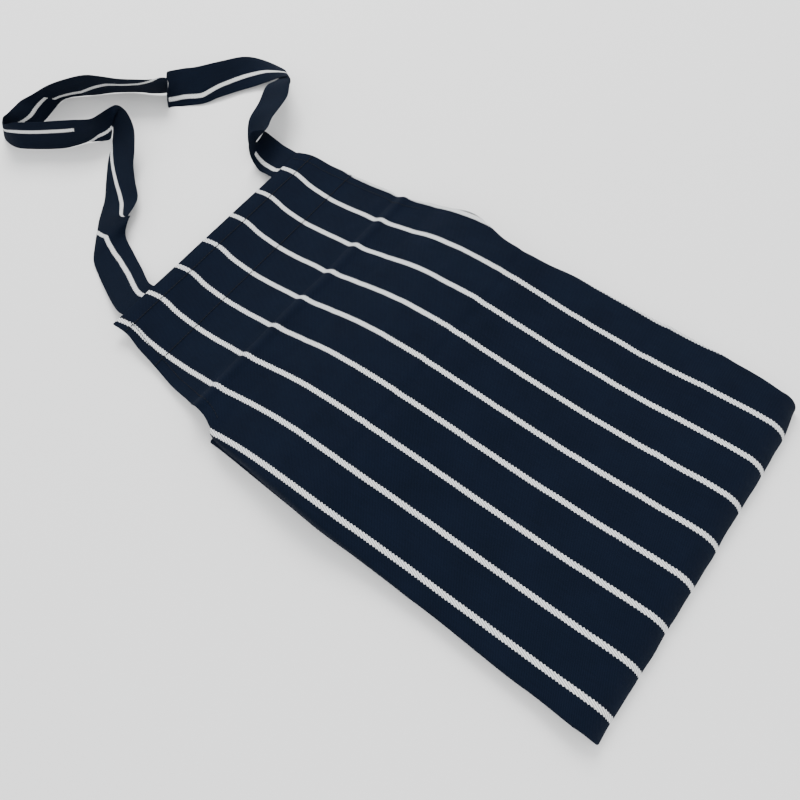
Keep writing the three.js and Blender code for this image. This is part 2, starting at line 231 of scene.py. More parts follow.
def thread_noise(tree, u, v, changes, detail, roughness):
    """Noise drawn out along one direction of the cloth, as the unevenness of a thread is."""
    stretched = add_node(tree, "ShaderNodeCombineXYZ", {"X": math_node(tree, "MULTIPLY", u, changes[0]),
                                                        "Y": math_node(tree, "MULTIPLY", v, changes[1])})
    return add_node(tree, "ShaderNodeTexNoise", {"Vector": stretched.outputs[0], "Scale": 1.0,
                                                 "Detail": detail, "Roughness": roughness}).outputs["Fac"]


def twill_material(name, navy, navy_light, white, white_shade, stripe_pitch):
    """Navy cotton twill with woven white stripes: matt, slightly furry, with raised slanting lines."""
    material, tree, output = new_material(name)
    place = add_node(tree, "ShaderNodeUVMap", uv_map="cloth")
    split = add_node(tree, "ShaderNodeSeparateXYZ", {"Vector": place.outputs["UV"]})
    u, v = split.outputs["X"], split.outputs["Y"]

    twill = slanting_wave(tree, u, v, TWILL_PITCH, TWILL_SLANT)
    cords = slanting_wave(tree, u, v, CORD_PITCH, CORD_SLANT)
    teeth = slanting_wave(tree, u, v, TOOTH_PITCH, TOOTH_SLANT)
    threads = thread_noise(tree, u, v, WARP_THREADS, 3.0, 0.6)
    picks = thread_noise(tree, u, v, WEFT_THREADS, 2.0, 0.5)
    wear = add_node(tree, "ShaderNodeTexNoise", {"Vector": place.outputs["UV"], "Scale": WORN_PATCHES,
                                                 "Detail": 4.0, "Roughness": 0.6}).outputs["Fac"]

    shifted = math_node(tree, "SUBTRACT", v, STRIPE_AT)
    distance = math_node(tree, "PINGPONG", shifted, stripe_pitch / 2)
    toothed = math_node(tree, "MULTIPLY_ADD", teeth, -TOOTH_DEPTH, STRIPE_HALF + 0.0003)
    uneven_edge = math_node(tree, "MULTIPLY_ADD", threads, 0.0003, -0.00015)
    inside = math_node(tree, "SUBTRACT", math_node(tree, "ADD", toothed, uneven_edge), distance)
    stripe = add_node(tree, "ShaderNodeMapRange", {"Value": inside, "From Min": -EDGE_SOFTNESS,
                                                   "From Max": EDGE_SOFTNESS},
                      interpolation_type="SMOOTHSTEP").outputs["Result"]

    lines_and_threads = math_node(tree, "ADD", math_node(tree, "MULTIPLY", twill, 0.55),
                                  math_node(tree, "MULTIPLY", threads, 0.9))
    navy_mix = math_node(tree, "MULTIPLY", lines_and_threads, 0.62)
    worn = math_node(tree, "ADD", navy_mix, math_node(tree, "MULTIPLY_ADD", wear, 0.5, -0.25))
    navy_cloth = add_node(tree, "ShaderNodeMix", {"Factor": worn, "A": srgb(navy), "B": srgb(navy_light)},
                          data_type="RGBA")
    cord_mix = math_node(tree, "MULTIPLY_ADD", threads, 0.5,
                         math_node(tree, "MULTIPLY_ADD", cords, 0.85, -0.1))
    white_cloth = add_node(tree, "ShaderNodeMix", {"Factor": cord_mix, "A": srgb(white_shade),
                                                   "B": srgb(white)}, data_type="RGBA")
    colour = add_node(tree, "ShaderNodeMix", {"Factor": stripe, "A": navy_cloth.outputs["Result"],
                                              "B": white_cloth.outputs["Result"]}, data_type="RGBA")

    line = add_node(tree, "ShaderNodeMix", {"Factor": stripe, "A": twill, "B": cords}, data_type="FLOAT")
    relief = math_node(tree, "ADD", line.outputs["Result"], math_node(tree, "MULTIPLY", threads, 0.8))
    relief = math_node(tree, "ADD", relief, math_node(tree, "MULTIPLY", picks, 0.5))
    bump = add_node(tree, "ShaderNodeBump", {"Strength": 0.85, "Distance": WEAVE_RELIEF, "Height": relief})
    rough = math_node(tree, "MULTIPLY_ADD", threads, 0.12, 0.84)
    shader = add_node(tree, "ShaderNodeBsdfPrincipled", {
        "Base Color": colour.outputs["Result"], "Roughness": rough, "Normal": bump.outputs["Normal"],
        "Specular IOR Level": 0.06, "Sheen Weight": 0.02, "Sheen Roughness": 0.55,
        "Sheen Tint": srgb("8FA0BE")})
    tree.links.new(shader.outputs["BSDF"], output.inputs["Surface"])
    return material


ONE_STRIPE = 1.0    # a pitch in metres, so wide that a strap only ever shows one stripe
TWILL = twill_material("cotton_twill", "040914", "0F192A", "FCFCF8", "7A808A", STRIPE_PITCH)
STRAP_TWILL = twill_material("pressed_cotton_twill", "040914", "0E1828", "FCFCF8", "868C95", ONE_STRIPE)
print("materials:", TWILL.name, STRAP_TWILL.name)

# %% [markdown]
# Polyester sewing thread is a tight two-ply twist, so it is a little glossier than the cotton, and the
# turns of the ply show as fine slanting bands. It is dyed to the navy of the cloth.

# %% Sewing thread
PLY_PITCH = 0.0007
THREAD_MATERIAL, tree, output = new_material("polyester_sewing_thread")
place = add_node(tree, "ShaderNodeTexCoord")
split = add_node(tree, "ShaderNodeSeparateXYZ", {"Vector": place.outputs["Object"]})
ply = slanting_wave(tree, split.outputs["X"], split.outputs["Y"], PLY_PITCH, 45)
tone = add_node(tree, "ShaderNodeMix", {"Factor": ply, "A": srgb("02040A"), "B": srgb("0A0F1A")},
                data_type="RGBA")
bump = add_node(tree, "ShaderNodeBump", {"Strength": 0.4, "Distance": 0.0001, "Height": ply})
shader = add_node(tree, "ShaderNodeBsdfPrincipled", {
    "Base Color": tone.outputs["Result"], "Roughness": 0.6, "Specular IOR Level": 0.15,
    "Normal": bump.outputs["Normal"]})
tree.links.new(shader.outputs["BSDF"], output.inputs["Surface"])

# %% [markdown]
# ## The shape of the folded cloth
#
# Folded cloth never bends in a straight line for long, so its shape is drawn with smooth curves through
# a row of heights down the middle of the apron. From the top: the hemmed edge stands a little off
# the table, the bib sags, then it climbs sharply on to the end of the half that is folded underneath,
# humps over the folded ties, sinks again, and rises into the soft roll of the main fold.

# %% Curves of the outline and the height


def smooth_through(knots):
    """A smooth curve through (place, value) knots, for one place or an array of them."""
    at, value = np.array(knots, float).T
    before = np.r_[0, np.arange(len(at) - 1)]
    after = np.r_[np.arange(1, len(at)), len(at) - 1]
    slope = (value[after] - value[before]) / (at[after] - at[before])

    def curve(place):
        place = np.clip(np.asarray(place, float), at[0], at[-1])
        i = np.clip(np.searchsorted(at, place, side="right") - 1, 0, len(at) - 2)
        span = at[i + 1] - at[i]
        t = (place - at[i]) / span
        rise = value[i + 1] - value[i]
        return value[i] + t * (slope[i] * span + t * (3 * rise - (2 * slope[i] + slope[i + 1]) * span
                                                      + t * ((slope[i] + slope[i + 1]) * span - 2 * rise)))
    return curve


LOWER_END = 145.0      # where the turned-under lower half ends
ROLL_START = 486.0     # where the cloth starts to turn at the main fold
ROLL_REACH = 19.5      # how far the outer layer reaches past that
HALF_WIDTH = 350.0     # half the width of the apron laid flat
ARMHOLE_DEPTH = 222.0
FOLD_AT = 145.0        # where the side folds meet the armhole, from the centre line
SIDE_BULGE = 2.4
CLOTH = 0.62           # thickness of one layer
LOWEST_CLOTH = 0.12    # the lowest any cloth lies above the table
LOWEST_FRONT = 11.8    # the front never sinks into the four layers under it

middle_height = smooth_through([
    (0, 14.0), (8, 13.2), (18, 11.0), (35, 8.2), (57, 5.8), (80, 6.4), (100, 9.0), (113, 12.0),
    (118, 16.6), (123, 19.6), (130, 18.2), (150, 18.9), (185, 23.8), (220, 26.8), (245, 27.4),
    (262, 26.2), (300, 18.9), (350, 13.4), (400, 12.3), (450, 14.2), (475, 16.2), (486, 16.3)])
tilt = smooth_through([(0, 0.05), (57, 0.15), (105, 0.2), (122, 0.8), (150, 0.29), (185, -0.29), (220, -0.46),
                       (300, -0.18), (350, -0.07), (400, -0.3), (450, -0.5), (486, -0.23)])
upper_left = smooth_through([(0, -120), (12, -122), (50, -127), (84, -134), (108, -137), (132, -141),
                             (150, -153), (190, -158), (260, -163), (310, -165), (410, -168), (500, -171)])
upper_right = smooth_through([(0, 126), (12, 129), (36, 134), (60, 138), (108, 138), (120, 135.5), (144, 140),
                              (170, 141), (190, 143), (210, 139), (230, 133), (250, 131), (270, 132),
                              (300, 136.5), (340, 138.5), (400, 140), (450, 136), (500, 131)])
lower_left = smooth_through([(145, -154), (190, -158), (260, -160.5), (350, -164), (500, -168)])
lower_right = smooth_through([(145, 144), (190, 146.5), (225, 144), (260, 138), (350, 139), (430, 138),
                              (500, 132)])
sideways_drift = smooth_through([(0, -5), (15, -2), (35, -4), (80, -4), (105, -3.6), (122, -4.6),
                                 (150, -1), (185, 1), (260, 1), (300, 3), (350, 4), (512, 3)])


def uneven(x, y, size, seed):
    """Gentle unevenness from about -1 to 1, its hollows and rises about size millimetres apart."""
    return np.vectorize(lambda a, b: noise.noise(Vector((a / size, b / size, seed))))(x, y) * 1.6


def step(x, start, end):
    """Rises smoothly from 0 to 1 between two places."""
    t = np.clip((x - start) / (end - start), 0, 1)
    return t * t * (3 - 2 * t)


def crease(x, y, at, slant, height, width, wander, seed):
    """A ridge, or a valley if height is negative, that crosses the cloth near x = at."""
    line = at + slant * y / 100 + wander * uneven(y, y * 0, 60, seed)
    return height / (1 + ((x - line) / width) ** 2)


# One crease each: x on the centre line, slant, height, width, wander and seed. A valley's height is negative.
CREASES = [(252, 2, -1.1, 5, 3, 1.3), (246, 1, 0.8, 4, 3, 4.2), (380, -1, -0.9, 6, 3, 2.7),
           (388, 1, 0.6, 4, 3, 5.1), (152, 2, -0.7, 4, 3, 8.3), (122, 1, 0.4, 4, 2, 6.1),
           (62, 0, -0.5, 3, 2, 9.4), (205, -4, 0.5, 5, 6, 3.9), (318, 3, -0.5, 5, 6, 7.7),
           (438, -3, 0.5, 5, 5, 2.2)]
WAVES = [(0.55, 62, 7.0), (0.45, 27, 9.0), (0.16, 11, 12.0)]    # height, size and seed of each
TILT_AXIS = -24.0    # middle_height holds along this y, and tilt is the rise to the left over one stripe


def front_height(x, y):
    """Height of the middle of the upper front's cloth."""
    z = middle_height(x - 1.5 * uneven(y, y * 0, 70, 3.0) * step(x, 60, 110) * step(-x, -200, -150))
    quiet = step(-x, -(ROLL_START - 2), -(ROLL_START - 30))
    waves = sum(height * uneven(x, y, size, seed) for height, size, seed in WAVES)
    waves *= 0.35 + 0.65 * step(x, 40, 130)
    creases = sum(crease(x, y, *numbers) for numbers in CREASES)
    edges = -0.5 * step(np.abs(y), 128, 172) * step(x, 150, 200)
    z = z - CLOTH / 2 + quiet * (waves + creases + edges) + tilt(x) * (TILT_AXIS - y) / (STRIPE_PITCH / MM)
    return np.where(x > LOWER_END, np.maximum(z, LOWEST_FRONT), z)


print("heights down the middle:", middle_height([0, 60, 126, 230, 400, 486]).round(1))

# %% [markdown]
# ## One cloth, wrapped
#
# The real apron is a single cut of cloth, so the model lays it as a single surface: from the left side
# panel's free edge, round the left fold, over the front, round the right fold and in to the right
# panel's free edge. Six separate sheets would have been easier, but they would leave gaps at the folds.
#
# v is measured along the cloth as it wraps, so the stripes run on round the folds as woven ones do.

# %% Wrapping the side panels under
FLAP_COLUMNS = 38
TURN_COLUMNS = 7
FRONT_COLUMNS = 104


def armhole_x(distance):
    """The x of the armhole's edge, that far from the centre line on the flat cloth."""
    share = np.clip((HALF_WIDTH - distance) / (HALF_WIDTH - FOLD_AT), 0, 1)
    return ARMHOLE_DEPTH - (ARMHOLE_DEPTH - LOWER_END) * share ** 3


def wrap(rows, flap_start, left, right, front_z, left_z, right_z):
    """Points of the wrapped cloth, one row for each x: panel, fold, front, fold, panel."""
    share = ((rows - rows.min()) / np.ptp(rows))[:, None]
    end = rows.max()
    parts = []
    for side, edge, flap_z in ((-1, left, left_z), (1, right, right_z)):
        out = np.linspace(1, 0, FLAP_COLUMNS)[None, :]
        start = flap_start(FOLD_AT + (HALF_WIDTH - FOLD_AT) * out)
        x = start + (end - start) * share
        fold = edge(x)
        y = fold + out * -side * (HALF_WIDTH - side * fold)
        flap = np.stack([x, y, flap_z(x, y)], -1)

        angle = np.linspace(-math.pi / 2, math.pi / 2, TURN_COLUMNS + 2)[None, 1:-1]
        x = np.repeat(rows[:, None], TURN_COLUMNS, 1)
        fold = edge(x)
        low, high = flap_z(x, fold), front_z(x, fold)
        half = (high - low) / 2
        y = fold + side * np.minimum(np.abs(half), SIDE_BULGE) * np.cos(angle)
        turn = np.stack([x, y, low + half + half * np.sin(angle)], -1)
        parts.append(np.concatenate([flap, turn], 1))
    x = np.repeat(rows[:, None], FRONT_COLUMNS, 1)
    across = np.linspace(0, 1, FRONT_COLUMNS)[None, :]
    y = left(x) + (right(x) - left(x)) * across
    front = np.stack([x, y, front_z(x, y)], -1)
    return np.concatenate([parts[0], front, parts[1][:, ::-1]], 1)


def measure_across(points):
    """v for each point: the distance along the cloth from the centre line."""
    lengths = np.hypot(np.diff(points[..., 1], axis=1), np.diff(points[..., 2], axis=1))
    along = np.concatenate([np.zeros((len(points), 1)), np.cumsum(lengths, 1)], 1)
    middle = points.shape[1] // 2
    return along - along[:, middle:middle + 1] + points[:, middle:middle + 1, 1]


# %% [markdown]
# ## From a surface to a piece of cloth
#
# A surface with no thickness looks like paper, and its edge disappears. Solidify gives the cloth its
# real thickness and a closed rim. It is applied at once, so what follows works on the final mesh.

# %% Making cloth pieces


def new_piece(name, mesh, material):
    """Puts a finished mesh in the scene as a piece with its material."""
    piece = bpy.data.objects.new(name, mesh)
    bpy.context.scene.collection.objects.link(piece)
    mesh.materials.clear()
    mesh.materials.append(material)
    return piece


def baked(piece):
    """Applies the piece's modifiers to its mesh."""
    bpy.context.view_layer.update()
    seen = piece.evaluated_get(bpy.context.evaluated_depsgraph_get())
    mesh = bpy.data.meshes.new_from_object(seen)
    piece.modifiers.clear()
    piece.data = mesh
    return mesh


def lay_cloth_uv(mesh, corners):
    """The cloth's own UV map, in metres, from the pattern place of every face's corners."""
    layer = mesh.uv_layers.new(name="cloth")
    layer.data.foreach_set("uv", (np.array(corners) * MM).astype(np.float32).ravel())
    mesh.polygons.foreach_set("use_smooth", [True] * len(mesh.polygons))


def cloth_from_grid(name, points, uv):
    """A thin closed sheet from a grid of points in pattern millimetres, without those that are nan."""
    rows, columns = points.shape[:2]
    used = ~np.isnan(points[..., 0])
    number = np.cumsum(used.ravel()).reshape(used.shape) - 1
    quads, corners = [], []
    for i in range(rows - 1):
        for j in range(columns - 1):
            cells = ((i, j), (i + 1, j), (i + 1, j + 1), (i, j + 1))
            if all(used[cell] for cell in cells):
                quads.append([int(number[cell]) for cell in cells])
                corners.extend(uv[cell] for cell in cells)
    mesh = bpy.data.meshes.new(name)
    mesh.from_pydata(in_frame(points[used]).tolist(), [], quads)
    lay_cloth_uv(mesh, corners)
    piece = new_piece(name, mesh, TWILL)
    solid = piece.modifiers.new("thickness", "SOLIDIFY")
    solid.thickness = CLOTH * MM
    solid.offset = 0
    baked(piece).set_sharp_from_angle(angle=math.radians(50))
    print(f"{name}: {len(piece.data.polygons)} faces")
    return piece


# %% [markdown]
# ## Upper half
#
# The bib's top edge is a wide hem: 57 mm of cloth turned to the inside. It starts the surface here, so
# the rows run along the turned part, round the edge and on down the front. Above the armholes there is
# only the front, and the side panels begin along the armhole's curve.

# %% Upper half of the cloth
HEM_TURN = 1.25        # from the middle of the front's cloth to the middle of the turned cloth
FACING_END = 57.0
ROW_STEP = 3.2
FINE_STEP = 1.6        # where the bib turns over, and where it climbs on to the lower half


def upper_left_edge(x):
    return upper_left(x) + SIDE_BULGE * step(x, LOWER_END - 12, LOWER_END + 4)


def upper_right_edge(x):
    return upper_right(x) - SIDE_BULGE * step(x, LOWER_END - 12, LOWER_END + 4)


def left_flap_height(x, y):
    """The left side panel lies lowest in the upper half, and draws up to the front at the main fold."""
    rest = 7.9 + 0.3 * uneven(x, y, 45, 21.0)
    return rest + (12.2 - rest) * step(x, 430, ROLL_START)


def right_flap_height(x, y):
    """The right side panel lies over the left one, between it and the front."""
    front = front_height(x, y)
    rest = (8.1 + front) / 2 + 0.25 * uneven(x, y, 45, 23.0)
    return rest + (13.75 - rest) * step(x, 430, ROLL_START)


bib_rows = np.concatenate([np.arange(0, 30, FINE_STEP), np.arange(30, 100, ROW_STEP),
                           np.arange(100, LOWER_END, FINE_STEP)])
body_rows = np.concatenate([np.arange(LOWER_END, 300, 2.6), np.linspace(300, ROLL_START, 60)])
wrapped = wrap(body_rows, armhole_x, upper_left_edge, upper_right_edge, front_height,
               left_flap_height, right_flap_height)


def front_row(x, lower=0.0, back=0.0):
    """A row of points across the front only, with the side panels' places left empty."""
    row = np.full((wrapped.shape[1], 3), np.nan)
    across = np.linspace(0, 1, FRONT_COLUMNS)
    start = FLAP_COLUMNS + TURN_COLUMNS
    y = upper_left_edge(x) + (upper_right_edge(x) - upper_left_edge(x)) * across
    row[start:start + FRONT_COLUMNS] = np.stack([x - back + 0 * y, y, front_height(x + 0 * y, y) - lower], -1)
    return row


facing_rows = [front_row(x, lower=HEM_TURN) for x in np.arange(FACING_END, 0, -3.0)]
turned_edge = [front_row(0.0, lower=HEM_TURN / 2 * (1 - math.sin(a)), back=HEM_TURN / 2 * math.cos(a))
               for a in np.radians([-90, -55, -20, 20, 55])]
upper_points = np.concatenate([np.array(facing_rows + turned_edge + [front_row(x) for x in bib_rows]),
                               wrapped])
upper_v = measure_across(np.nan_to_num(upper_points))
front_only = len(upper_points) - len(wrapped)
upper_v[:front_only] = upper_points[:front_only, :, 1]
upper_u = upper_points[..., 0].copy()
upper_u[:len(facing_rows) + len(turned_edge)] *= -1
upper_points[..., 1] += sideways_drift(np.nan_to_num(upper_points[..., 0]))
upper_cloth = cloth_from_grid("upper_cloth", upper_points, np.stack([upper_u, upper_v], -1))

# %% [markdown]
# ## Lower half
#
# The lower half lies face down on the table with its side panels on top of it. Its end is turned over
# in a narrow hem, which goes round the side panels too.

# %% Lower half of the cloth
HEM_WIDTH = 12.0
HEM_GAP = 0.86          # from the middle of one layer to the middle of the turned one
HEM_ROUND = [(-0.30, 0.12), (-0.43, 0.43), (-0.30, 0.74)]    # past the end, and up, as the hem turns
LOWER_FRONT = 0.45      # height of the lower front, which lies face down on the table
PLAIN_V = 12.0          # a place across the cloth that is midway between two stripes


def lower_left_edge(x):
    return lower_left(x) + SIDE_BULGE


def lower_right_edge(x):
    return lower_right(x) - SIDE_BULGE


def lower_front_height(x, y):
    return np.full_like(x, LOWER_FRONT)


def lower_right_flap_height(x, y):
    rest = 3.1 + 0.2 * uneven(x, y, 50, 31.0)
    return rest + (2.05 - rest) * step(x, 430, ROLL_START)


def lower_left_flap_height(x, y):
    rest = 5.6 + 0.25 * uneven(x, y, 50, 33.0)
    return rest + (3.6 - rest) * step(x, 430, ROLL_START)


lower_rows = np.linspace(ROLL_START, LOWER_END, 112)
lower_wrapped = wrap(lower_rows, lambda distance: np.full_like(distance, LOWER_END), lower_left_edge,
                     lower_right_edge, lower_front_height, lower_left_flap_height,
                     lower_right_flap_height)
inward = np.zeros(lower_wrapped.shape[1])
inward[:FLAP_COLUMNS] = -1
inward[-FLAP_COLUMNS:] = -1
inward[FLAP_COLUMNS + TURN_COLUMNS:-(FLAP_COLUMNS + TURN_COLUMNS)] = 1
turning = np.linspace(-1, 1, TURN_COLUMNS + 2)[1:-1]
inward[FLAP_COLUMNS:FLAP_COLUMNS + TURN_COLUMNS] = turning
inward[-(FLAP_COLUMNS + TURN_COLUMNS):-FLAP_COLUMNS] = turning[::-1]
hem = []
for back, lift in HEM_ROUND + [(back, HEM_GAP) for back in np.arange(0, HEM_WIDTH + 1, 3.0)]:
    row = lower_wrapped[-1].copy()
    row[:, 0] += back
    row[:, 2] += inward * lift
    hem.append(row)
lower_points = np.concatenate([lower_wrapped, np.array(hem)])
lower_v = measure_across(lower_points)
ROLL_LENGTH = 46.0      # about how much cloth the main fold's outer layer takes
u_at_top = 2 * ROLL_START + ROLL_LENGTH
turned = slice(len(lower_wrapped), None)
lower_u = u_at_top - lower_points[..., 0]
lower_u[turned] = u_at_top - 2 * LOWER_END + lower_points[turned, :, 0]
lower_points[..., 1] += sideways_drift(lower_points[..., 0])
lower_cloth = cloth_from_grid("lower_cloth", lower_points, np.stack([lower_u, lower_v], -1))

# %% [markdown]
# ## The main fold
#
# All the layers turn round together at the main fold, each one inside the last. Every column of the
# upper half's last row is carried round a rounded nose to the same column of the lower half's first
# row, so the roll starts and ends exactly where its neighbours do, with the same stripes.

# %% Main fold
CORNER_SHORT = 4.5     # how much less far the fold reaches at its right corner
ROLL_STEPS = 34
NOSE = [(0, 1), (0.16, 0.995), (0.33, 0.965), (0.50, 0.90), (0.66, 0.795), (0.80, 0.655), (0.91, 0.49),
        (0.975, 0.325), (1.0, 0.19), (0.965, 0.085), (0.86, 0.02), (0.62, 0.0), (0.3, 0.0), (0, 0)]
nose_reach = smooth_through([(i, point[0]) for i, point in enumerate(NOSE)])
nose_rise = smooth_through([(i, point[1]) for i, point in enumerate(NOSE)])
top_row, bottom_row = upper_points[-1], lower_points[0]
places = np.linspace(0, len(NOSE) - 1, ROLL_STEPS)[:, None]
depth = top_row[:, 2] - bottom_row[:, 2]
top_y = top_row[:, 1]
reach = ROLL_REACH - (depth.max() - depth) * 0.5 - CORNER_SHORT * step(top_y, 100, 134)
wander = 1.0 * uneven(top_y, top_y * 0, 55, 40.0) + 0.5 * uneven(top_y, top_y * 0, 21, 41.0)
turn_x = ROLL_START + nose_reach(places) * (reach + wander)[None, :]
turn_z = bottom_row[None, :, 2] + nose_rise(places) * depth[None, :]
share = places / places.max()
turn_y = top_y[None, :] * (1 - share) + bottom_row[None, :, 1] * share
roll_points = np.stack([turn_x, turn_y, turn_z], -1)
lengths = np.linalg.norm(np.diff(roll_points[:, len(top_row) // 2], axis=0), axis=1)
roll_u = ROLL_START + np.r_[0, np.cumsum(lengths)][:, None] + 0 * turn_x
roll_v = upper_v[-1][None, :] * (1 - share) + lower_v[0][None, :] * share
main_fold_cloth = cloth_from_grid("main_fold_cloth", roll_points, np.stack([roll_u, roll_v], -1))
print("cloth round the fold:", round(float(lengths.sum()), 1), "mm")

# %% [markdown]
# ## Narrow hems
#
# The armholes and the free side edges have a narrow hem, turned to the inside. Each is a strip of the
# same cloth just inside the surface that it finishes, and follows that surface's curve.

# %% Narrow hems
HEM_COLUMNS = 5
HEM_INSET = 0.4        # from the cloth's edge to the hem's


def hem_strip(name, rows, edge, inward, height, offset):
    """A strip of cloth that runs along an edge, offset millimetres above or below the cloth."""
    x = np.repeat(rows[:, None], HEM_COLUMNS, 1)
    y = edge(x) + inward * np.linspace(HEM_INSET, HEM_WIDTH, HEM_COLUMNS)[None, :]
    z = height(x, y) + offset
    uv = np.stack([x, PLAIN_V + (y - edge(x)) * 0.2], -1)
    points = np.stack([x, y + sideways_drift(x), z], -1)
    return cloth_from_grid(name, points, uv)


armhole_rows = np.arange(FACING_END + 2, LOWER_END - 2, 2.6)
side_rows = np.arange(ARMHOLE_DEPTH + 40, ROLL_START - 2, 5.0)
lower_side_rows = np.arange(LOWER_END + HEM_WIDTH + 8, ROLL_START - 2, 5.0)


def left_free(edge):
    return lambda x: 2 * edge(x) + HALF_WIDTH


def right_free(edge):
    return lambda x: 2 * edge(x) - HALF_WIDTH


hems = {
    "armhole_hem_left": hem_strip("armhole_hem_left_cloth", armhole_rows, upper_left_edge, 1,
                                  front_height, -HEM_TURN),
    "armhole_hem_right": hem_strip("armhole_hem_right_cloth", armhole_rows, upper_right_edge, -1,
                                   front_height, -HEM_TURN),
    "upper_left_side_hem": hem_strip("upper_left_side_hem_cloth", side_rows, left_free(upper_left_edge), -1,
                                     left_flap_height, HEM_GAP),
    "upper_right_side_hem": hem_strip("upper_right_side_hem_cloth", side_rows,
                                      right_free(upper_right_edge), 1, right_flap_height, HEM_GAP),
    "lower_left_side_hem": hem_strip("lower_left_side_hem_cloth", lower_side_rows,
                                     left_free(lower_left_edge), -1, lower_left_flap_height, -HEM_GAP),
    "lower_right_side_hem": hem_strip("lower_right_side_hem_cloth", lower_side_rows,
                                      right_free(lower_right_edge), 1, lower_right_flap_height, -HEM_GAP),
}

# %% [markdown]
# ## Neck strap
#
# The strap is the same cloth folded double and pressed, 38 mm wide, with one stripe on each face. A
# flat strap can't turn sideways while it lies flat, so at each turn it rises and stands on its edge.
# Its route is therefore a list of places for its two edges, which holds the turns and the twist.

# %% Ribbons that follow a route


def curve_through(points, per_span):
    """A smooth line through points, with that many steps between one and the next."""
    points = np.array(points, float)
    padded = np.vstack([2 * points[0] - points[1], points, 2 * points[-1] - points[-2]])
    t = np.arange(per_span)[:, None] / per_span
    spans = []
    for a, b, c, d in zip(padded, padded[1:], padded[2:], padded[3:]):
        spans.append(0.5 * (2 * b + (c - a) * t + (2 * a - 5 * b + 4 * c - d) * t ** 2
                            + (3 * b - a - 3 * c + d) * t ** 3))
    return np.vstack(spans + [points[-1:]])


def ribbon(name, centres, across, width, thickness, front_stripe, back_stripe, columns=12):
    """A closed flat ribbon with soft edges, and its length. Each face's stripe has a place from the middle
    for the start and the end of every step along the ribbon."""
    tangent = np.gradient(centres, axis=0)
    tangent /= np.linalg.norm(tangent, axis=1)[:, None]
    across = across / np.linalg.norm(across, axis=1)[:, None]
    normal = np.cross(across, tangent)
    normal /= np.linalg.norm(normal, axis=1)[:, None]
    share = np.linspace(-1, 1, columns)
    soft = np.sqrt(np.clip(1 - np.abs(share) ** 14, 0.12, 1))
    loop = [(s, f) for s, f in zip(share, soft)] + [(s, -f) for s, f in zip(share[::-1], soft[::-1])]
    along = np.r_[0, np.cumsum(np.linalg.norm(np.diff(centres, axis=0), axis=1))]
    rings = []
    for s, f in loop:
        rings.append(centres + across * (s * width / 2) + normal * (f * thickness / 2))
    points = np.stack(rings, 1)
    points[..., 2] = np.maximum(points[..., 2], LOWEST_CLOTH)
    count = len(loop)
    quads, corners = [], []
    for i in range(len(centres) - 1):
        for j in range(count):
            k = (j + 1) % count
            front = j < columns - 1 or j == count - 1
            quads.append([i * count + j, i * count + k, (i + 1) * count + k, (i + 1) * count + j])
            place = front_stripe if front else back_stripe
            for row, column in ((i, j), (i, k), (i + 1, k), (i + 1, j)):
                corners.append((along[row],
                                STRIPE_AT / MM + loop[column][0] * width / 2 - place[i, row - i]))
    for row, order in ((0, range(count)), (len(centres) - 1, range(count - 1, -1, -1))):
        quads.append([row * count + j for j in order][::-1])
        corners.extend([(along[row], PLAIN_V)] * count)
    mesh = bpy.data.meshes.new(name)
    mesh.from_pydata(in_frame(points.reshape(-1, 3)).tolist(), [], quads)
    lay_cloth_uv(mesh, corners)
    mesh.validate()
    mesh.update()
    mesh.set_sharp_from_angle(angle=math.radians(60))
    print(f"{name}: {len(quads)} faces, {along[-1]:.0f} mm long")
    return new_piece(name, mesh, STRAP_TWILL), along[-1]


# %% Neck strap
STRAP_WIDTH = 38.0
STRAP_THICKNESS = 1.3


def tab_height(x):
    """Height of a sewn strap end, just under the bib's turned hem."""
    return float(middle_height(x)) - 3.3


